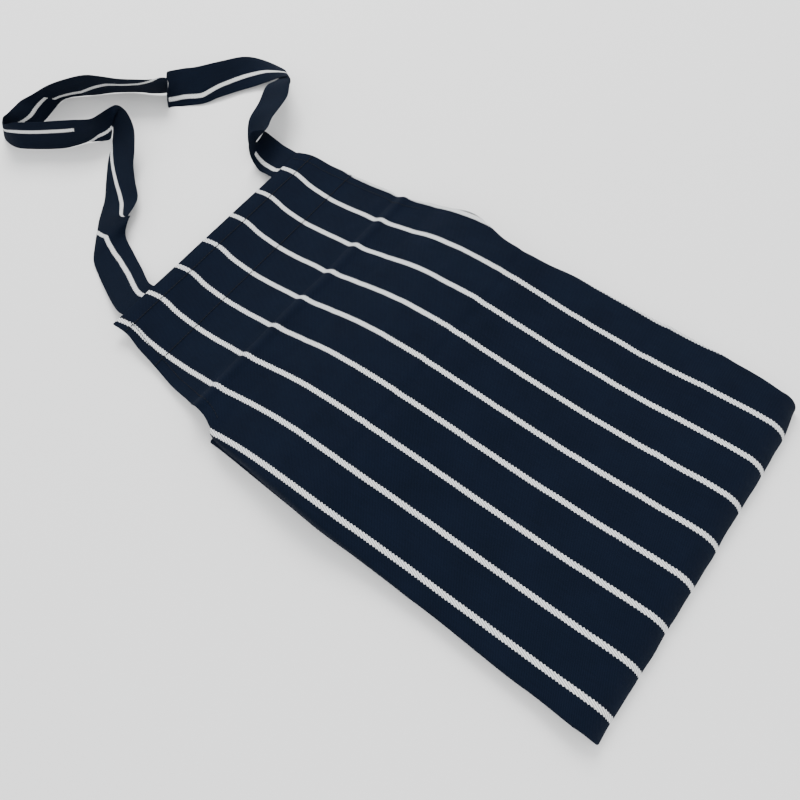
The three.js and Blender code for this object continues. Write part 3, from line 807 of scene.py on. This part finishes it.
# Each place has the strap's left edge, its right edge, and how far across the upper face and the lower
# face their stripes lie (0 is the left edge, 1 the right one, beyond them there is none). A pair of
# numbers is a jump, where the cloth is pinched and the stripe goes out of sight on one side of it.
STRAP_EDGES = [
    *(((x, -110, tab_height(x)), (x, -72, tab_height(x)), 0.65, 0.45) for x in (50, 38, 26, 14, 4)),
    ((-12, -112, 9), (-10, -74, 9.5), 0.65, 0.45), ((-45, -100, 4), (-34, -64, 5), 0.65, 0.45),
    ((-63, -93, 2), (-54, -55, 3), 0.62, 0.45), ((-79, -84, 2), (-73, -47, 6), 0.55, 0.45),
    ((-92, -70, 3), (-76, -38, 14), 0.35, 0.45), ((-104, -55, 4), (-78, -32, 16), (-0.1, 1.1), 0.45),
    ((-116, -41, 3), (-82, -32, 14), 0.78, 0.45), ((-127, -26, 3), (-94, -10, 10), 0.5, 0.45),
    ((-146, -7, 3), (-111, 4, 12), 0.34, 0.45), ((-163, 12, 5), (-126, 17, 14), 0.16, 0.45),
    ((-173, 28, 8), (-137, 31, 19), -0.02, 0.45), ((-186, 45, 15), (-150, 46, 27), -0.3, 0.45),
    ((-197, 55, 22), (-163, 52, 38), -0.5, 0.45), ((-189, 37, 0.3), (-182, 50, 35.5), 0.37, 0.45),
    ((-198, 26, 0.3), (-185, 37, 35), 0.2, 0.45), ((-205, 20, 0.3), (-188, 26, 35), 0.0, 0.45),
    ((-213, 8, 0.3), (-200, 15, 36), (-0.2, 0.65), 0.45), ((-222, -2, 0.3), (-212, 5, 36.5), 0.65, 0.45),
    ((-246, -19, 0.3), (-232, -8, 34.5), 0.66, 0.45), ((-264, -28, 0.3), (-249, -20, 35), 0.66, 0.45),
    ((-284, -27, 0.3), (-262, -27, 31.5), 0.66, 0.45), ((-290, -19, 0.3), (-269, -22, 32.5), 0.66, 0.45),
    ((-275, -4, 0.3), (-266, -17, 35.5), 0.66, 0.45), ((-270, 13, 0.3), (-271, -7, 33), 0.66, 0.45),
    ((-274, 29, 0.3), (-276, 6, 30.5), 0.66, 0.5), ((-278, 46, 0.3), (-276, 20, 28.5), 0.66, (0.56, 0.3)),
    ((-274, 55, 0.3), (-265, 38, 33.5), 0.66, 0.24), ((-263, 65, 0.3), (-250, 57, 36), 0.66, 0.24),
    ((-252, 74, 0.3), (-240, 67, 36), 0.66, 0.4), ((-239, 86, 0.3), (-227, 74, 35.5), 0.66, 0.53),
    ((-224, 97, 0.3), (-210, 83, 33.5), 0.7, 0.6), ((-212, 104, 0.3), (-193, 93, 33.5), 0.8, 0.7),
    ((-201, 109, 0.3), (-181, 100, 34), 0.8, 0.9), ((-188, 119, 0.3), (-166, 111, 35), 0.8, 1.2),
    ((-187, 125, 17), (-173, 107, 3), (1.4, 0.76), 1.4), ((-175, 138, 21), (-158, 117, 2), 0.76, 1.4),
    ((-164, 149, 23), (-142, 128, 2), 0.78, 1.4),
    ((-151, 172, 22), (-131, 143, 3), 0.68, 1.4), ((-142, 195, 16), (-117, 166, 3), 0.62, 1.4),
    ((-129, 210, 6), (-100, 185, 8), 0.55, 1.4), ((-102, 208, 10), (-73, 185, 26), 0.55, 1.4),
    ((-89, 202, 13.5), (-62, 183, 32), 0.55, 1.4), ((-86, 186, 16), (-54, 177, 35), 0.55, 1.4),
    ((-87, 171, 18), (-52, 173, 34), 0.55, 1.4), ((-77, 148, 18), (-43, 160, 34), 0.6, 1.4),
    ((-69, 126, 18), (-39, 144, 34), (0.65, 1.4), 1.4), ((-61, 113, 12), (-35, 128, 35), 1.4, 1.4),
    ((-54, 106, 6), (-30, 113, 34), 1.4, 1.4), ((-48, 112, 2), (-38, 100, 34), 1.4, 1.4),
    ((-52, 127, 9), (-38, 93, 7), (1.4, 0.76), 1.4), ((-32, 122, 12), (-24, 88, 6), 0.76, 1.4),
    ((-20, 122, 11), (-12, 85, 9), 0.78, 1.4), ((-6, 122, 10.6), (-6, 84, 10.6), 0.78, 1.4),
    *(((x, 122, tab_height(x)), (x, 84, tab_height(x)), 0.65, 1.4) for x in (4, 14, 26, 38, 50))]
STEPS_BETWEEN = 8


def stripe_places(column):
    """How far each step's stripe lies from the strap's middle at its start and end, in millimetres."""
    pairs = [station[column] if isinstance(station[column], tuple) else (station[column],) * 2
             for station in STRAP_EDGES]
    places = []
    for here, there in zip(pairs, pairs[1:]):
        run = np.linspace(here[1], there[0], STEPS_BETWEEN + 1)
        places += list(zip(run, run[1:]))
    return (np.array(places) - 0.5) * STRAP_WIDTH


left_line = curve_through([station[0] for station in STRAP_EDGES], STEPS_BETWEEN)
right_line = curve_through([station[1] for station in STRAP_EDGES], STEPS_BETWEEN)
strap_centres = (left_line + right_line) / 2
strap_across = right_line - left_line
print("width along the strap:", np.linalg.norm(strap_across, axis=1)[::STEPS_BETWEEN].round())
neck_strap, _ = ribbon("neck_strap_cloth", strap_centres, strap_across, STRAP_WIDTH, STRAP_THICKNESS,
                       stripe_places(2), stripe_places(3))

# %% [markdown]
# ## Waist ties
#
# The two ties are sewn to the side panels' free edges below the armholes. When the apron is put away
# each is folded to and fro into a flat bundle. Its side view is a zigzag with round turns.

# %% Waist ties
TIE_WIDTH = 32.0
TIE_THICKNESS = 0.8
TIE_RUN = 150.0
TIE_RUNS = 5
TIE_STEP = 1.08        # from one run to the next, which lies on it
TIE_INSET = 20.0       # from the sewn end to the folded runs
TIE_DRIFT = 1.2        # how far a run strays from square
TIE_X = ARMHOLE_DEPTH + 3 + TIE_WIDTH / 2


def tie_bundle(name, sewn_y, direction, bottom_z, seed):
    """A tie folded to and fro. direction is +1 where its sewn end lies towards +y."""
    near, far = sewn_y - direction * TIE_INSET, sewn_y - direction * (TIE_INSET + TIE_RUN)
    path = [(TIE_X, sewn_y, bottom_z)]
    for run in range(TIE_RUNS):
        z = bottom_z + run * TIE_STEP
        start, end = (near, far) if run % 2 == 0 else (far, near)
        drift = TIE_DRIFT * math.sin(2.1 * run + seed)
        for share in np.linspace(0.0, 1.0, 16)[1 if run == 0 else 0:]:
            inner = 0.5 + 0.99 * (share - 0.5)
            path.append((TIE_X + drift * share, start + (end - start) * inner,
                         z + 0.1 * math.sin(7 * share + run)))
        if run < TIE_RUNS - 1:
            out = math.copysign(1, end - start)
            for degrees in (45, 90, 135):
                angle = math.radians(degrees)
                path.append((TIE_X + drift, end + out * (TIE_STEP / 2) * math.sin(angle),
                             z + TIE_STEP / 2 * (1 - math.cos(angle))))
    path = np.array(path)
    across = np.tile([1.0, 0, 0], (len(path), 1))
    path[:, 1] += sideways_drift(path[:, 0])
    middle = np.zeros((len(path) - 1, 2))
    return ribbon(name, path, across, TIE_WIDTH, TIE_THICKNESS, middle, middle, columns=8)


tie_places = {}
for side, direction, free, flap_height in (("left", 1, left_free(upper_left_edge), left_flap_height),
                                           ("right", -1, right_free(upper_right_edge), right_flap_height)):
    sewn_y = float(free(np.array(TIE_X))) - direction * 3
    end_y = sewn_y - direction * (TIE_INSET + TIE_RUN + 2)
    under = flap_height(np.linspace(TIE_X - TIE_WIDTH / 2, TIE_X + TIE_WIDTH / 2, 9)[:, None],
                        np.linspace(end_y, sewn_y, 24)[None, :])
    bottom_z = float(under.max()) + CLOTH / 2 + TIE_THICKNESS / 2 + 0.15
    tie, tie_length = tie_bundle(f"waist_tie_{side}_cloth", sewn_y, direction, bottom_z, direction)
    tie_places[side] = (tie, sewn_y, direction, bottom_z)

# %% [markdown]
# ## Stitches
#
# A lockstitch seam shows as a row of short raised stitches with a small gap where the thread goes down.
# Geometry Nodes set one stitch at each step along a line that lies on the cloth. The same tree makes a
# bar tack, the dense block of stitches that holds a tie, by turning the stitches across the row.

# %% Stitch tree
STITCH_SIZES = {"Stitch Length": 0.0024, "Step": 0.0032, "Thread Radius": 0.0003, "Rise": 0.0005,
                "Turn": 0.0}


def build_stitch_tree():
    """Sets stitches along a line: each is a short thread that bows up and goes down at both ends."""
    tree = bpy.data.node_groups.new("stitches_along_a_line", "GeometryNodeTree")
    face = tree.interface
    face.new_socket("Line", in_out="INPUT", socket_type="NodeSocketGeometry")
    for label, value in STITCH_SIZES.items():
        face.new_socket(label, in_out="INPUT", socket_type="NodeSocketFloat").default_value = value
    face.new_socket("Stitches", in_out="OUTPUT", socket_type="NodeSocketGeometry")
    given = tree.nodes.new("NodeGroupInput").outputs
    line = add_node(tree, "GeometryNodeMeshToCurve", {"Mesh": given["Line"]})
    steps = add_node(tree, "GeometryNodeResampleCurve", {"Curve": line.outputs["Curve"],
                                                         "Length": given["Step"]}, mode="LENGTH")
    half = math_node(tree, "MULTIPLY", given["Stitch Length"], 0.5)
    other_half = math_node(tree, "MULTIPLY", half, -1.0)
    start = add_node(tree, "ShaderNodeCombineXYZ", {"X": other_half})
    top = add_node(tree, "ShaderNodeCombineXYZ", {"Z": given["Rise"]})
    end = add_node(tree, "ShaderNodeCombineXYZ", {"X": half})
    bow = add_node(tree, "GeometryNodeCurveQuadraticBezier", {
        "Resolution": 4, "Start": start.outputs[0], "Middle": top.outputs[0], "End": end.outputs[0]})
    section = add_node(tree, "GeometryNodeCurvePrimitiveCircle", {"Resolution": 6,
                                                                  "Radius": given["Thread Radius"]})
    stitch = add_node(tree, "GeometryNodeCurveToMesh", {"Curve": bow.outputs["Curve"],
                                                        "Profile Curve": section.outputs["Curve"],
                                                        "Fill Caps": True})
    direction = add_node(tree, "GeometryNodeInputTangent")
    facing = add_node(tree, "FunctionNodeAlignRotationToVector", {"Vector": direction.outputs["Tangent"]},
                      axis="X", pivot_axis="Z")
    turn = add_node(tree, "ShaderNodeCombineXYZ", {"Z": given["Turn"]})
    turned = add_node(tree, "FunctionNodeRotateRotation", {"Rotation": facing.outputs["Rotation"],
                                                           "Rotate By": turn.outputs[0]},
                      rotation_space="LOCAL")
    placed = add_node(tree, "GeometryNodeInstanceOnPoints", {"Points": steps.outputs["Curve"],
                                                             "Instance": stitch.outputs["Mesh"],
                                                             "Rotation": turned.outputs["Rotation"]})
    real = add_node(tree, "GeometryNodeRealizeInstances", {"Geometry": placed.outputs["Instances"]})
    dressed = add_node(tree, "GeometryNodeSetMaterial", {"Geometry": real.outputs["Geometry"],
                                                         "Material": THREAD_MATERIAL})
    result = tree.nodes.new("NodeGroupOutput")
    tree.links.new(dressed.outputs["Geometry"], result.inputs["Stitches"])
    return tree


STITCH_TREE = build_stitch_tree()


def stitches(name, lines, changed_sizes=None):
    """A piece made of the stitches along one or more lines, given in pattern millimetres."""
    sizes = STITCH_SIZES | (changed_sizes or {})
    verts, edges = [], []
    for line in lines:
        first = len(verts)
        verts.extend(in_frame(line).tolist())
        edges.extend((first + i, first + i + 1) for i in range(len(line) - 1))
    mesh = bpy.data.meshes.new(name)
    mesh.from_pydata(verts, edges, [])
    piece = bpy.data.objects.new(name, mesh)
    bpy.context.scene.collection.objects.link(piece)
    sewn = piece.modifiers.new("stitches", "NODES")
    sewn.node_group = STITCH_TREE
    for socket in STITCH_TREE.interface.items_tree:
        if socket.name in sizes:
            sewn[socket.identifier] = sizes[socket.name]
    made = baked(piece)
    made.name = name
    if THREAD_MATERIAL.name not in [m.name for m in made.materials if m]:
        made.materials.clear()
        made.materials.append(THREAD_MATERIAL)
    made.polygons.foreach_set("use_smooth", [True] * len(made.polygons))
    print(f"{name}: {len(made.polygons)} faces")
    return piece


def surface_line(xs, ys, height, side=1):
    """A line on the cloth's outer face."""
    xs, ys = np.broadcast_arrays(np.asarray(xs, float), np.asarray(ys, float))
    z = height(xs, ys) + side * (CLOTH / 2)
    return np.stack([xs, ys + sideways_drift(xs), z], -1)


# %% Stitches on the upper half
ROW_PLACES = (13.5, 56.0)
BIB_THREAD = {"Thread Radius": 0.00045, "Rise": 0.0007}


def across_bib(x):
    return surface_line(x, np.linspace(float(upper_left_edge(x)) + 2, float(upper_right_edge(x)) - 2, 90),
                        front_height)


bib_row_1 = stitches("bib_hem_stitches_1", [across_bib(ROW_PLACES[0])], BIB_THREAD)
bib_row_2 = stitches("bib_hem_stitches_2", [across_bib(ROW_PLACES[1])], BIB_THREAD)
armhole_line = np.arange(2, LOWER_END - 1, 2.5)
armhole_stitches = stitches("armhole_stitches", [
    surface_line(armhole_line, upper_left_edge(armhole_line) + 9.5, front_height),
    surface_line(armhole_line, upper_right_edge(armhole_line) - 9.5, front_height)])
flap_line = np.arange(ARMHOLE_DEPTH + 4, ROLL_START - 2, 4.0)
upper_side_stitches = stitches("upper_side_hem_stitches", [
    surface_line(flap_line, left_free(upper_left_edge)(flap_line) - 10, left_flap_height, -1),
    surface_line(flap_line, right_free(upper_right_edge)(flap_line) + 10, right_flap_height, -1)])
lower_line = np.arange(LOWER_END + 3, ROLL_START - 2, 4.0)
lower_side_stitches = stitches("lower_side_hem_stitches", [
    surface_line(lower_line, left_free(lower_left_edge)(lower_line) - 10, lower_left_flap_height, 1),
    surface_line(lower_line, right_free(lower_right_edge)(lower_line) + 10, lower_right_flap_height, 1)])

# %% Bar tacks on the ties
TACK_SIZES = {"Stitch Length": 0.004, "Step": 0.0007, "Thread Radius": 0.00022, "Rise": 0.0003,
              "Turn": math.radians(82)}
tacks = {}
for side, (tie, sewn_y, direction, bottom_z) in tie_places.items():
    xs = np.linspace(TIE_X - 14, TIE_X + 14, 15)
    y = sewn_y - direction * 4
    z = bottom_z + TIE_THICKNESS / 2 + 0.05
    tacks[side] = stitches(f"tie_bar_tack_{side}_thread",
                           [np.stack([xs, y + sideways_drift(xs), z + 0 * xs], -1)], TACK_SIZES)

# %% [markdown]
# ## Bodies
#
# Each piece is now given to the body that carries it. The cloth of the main fold lies between the two
# halves, and the strap between the bib that it is sewn to and the loop that swings; neither is given to a
# body, and each has its placing baked into its mesh.

# %% Riding and replacing
upper_pieces = [upper_cloth, hems["armhole_hem_left"], hems["armhole_hem_right"], hems["upper_left_side_hem"],
                hems["upper_right_side_hem"], bib_row_1, bib_row_2, armhole_stitches, upper_side_stitches,
                *(tie for tie, *_ in tie_places.values()), *tacks.values()]
lower_pieces = [lower_cloth, hems["lower_left_side_hem"], hems["lower_right_side_hem"], lower_side_stitches]
for piece in upper_pieces:
    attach(piece, "upper_half")
for piece in lower_pieces:
    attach(piece, "lower_half")
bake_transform(main_fold_cloth)
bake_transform(neck_strap)

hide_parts("upper_front_panel", "upper_left_side_fold", "upper_right_side_fold",
            "upper_left_flap", "upper_right_flap", "bib_hem_facing")
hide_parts("lower_front_panel", "lower_left_side_fold", "lower_right_side_fold",
            "lower_left_flap", "lower_right_flap", "bottom_hem")
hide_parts("front_main_fold", "right_flap_main_fold", "left_flap_main_fold")
for node_name, piece in hems.items():
    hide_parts(node_name)
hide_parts("neck_strap", "strap_end_left", "strap_end_right")
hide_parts("bib_hem_stitch_row_1")
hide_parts("bib_hem_stitch_row_2")
for side in ("left", "right"):
    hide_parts(f"waist_tie_{side}")
    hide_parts(f"tie_bar_tack_{side}")

# %% [markdown]
# ## Cloth sizes
#
# Cloth bends but hardly stretches, so each sheet is checked against the flat size it was cut to. The
# upper half's area is its pattern's, with the armholes cut away.

# %% Flat sizes
for side in ("left", "right"):
    tie = tie_places[side][0]
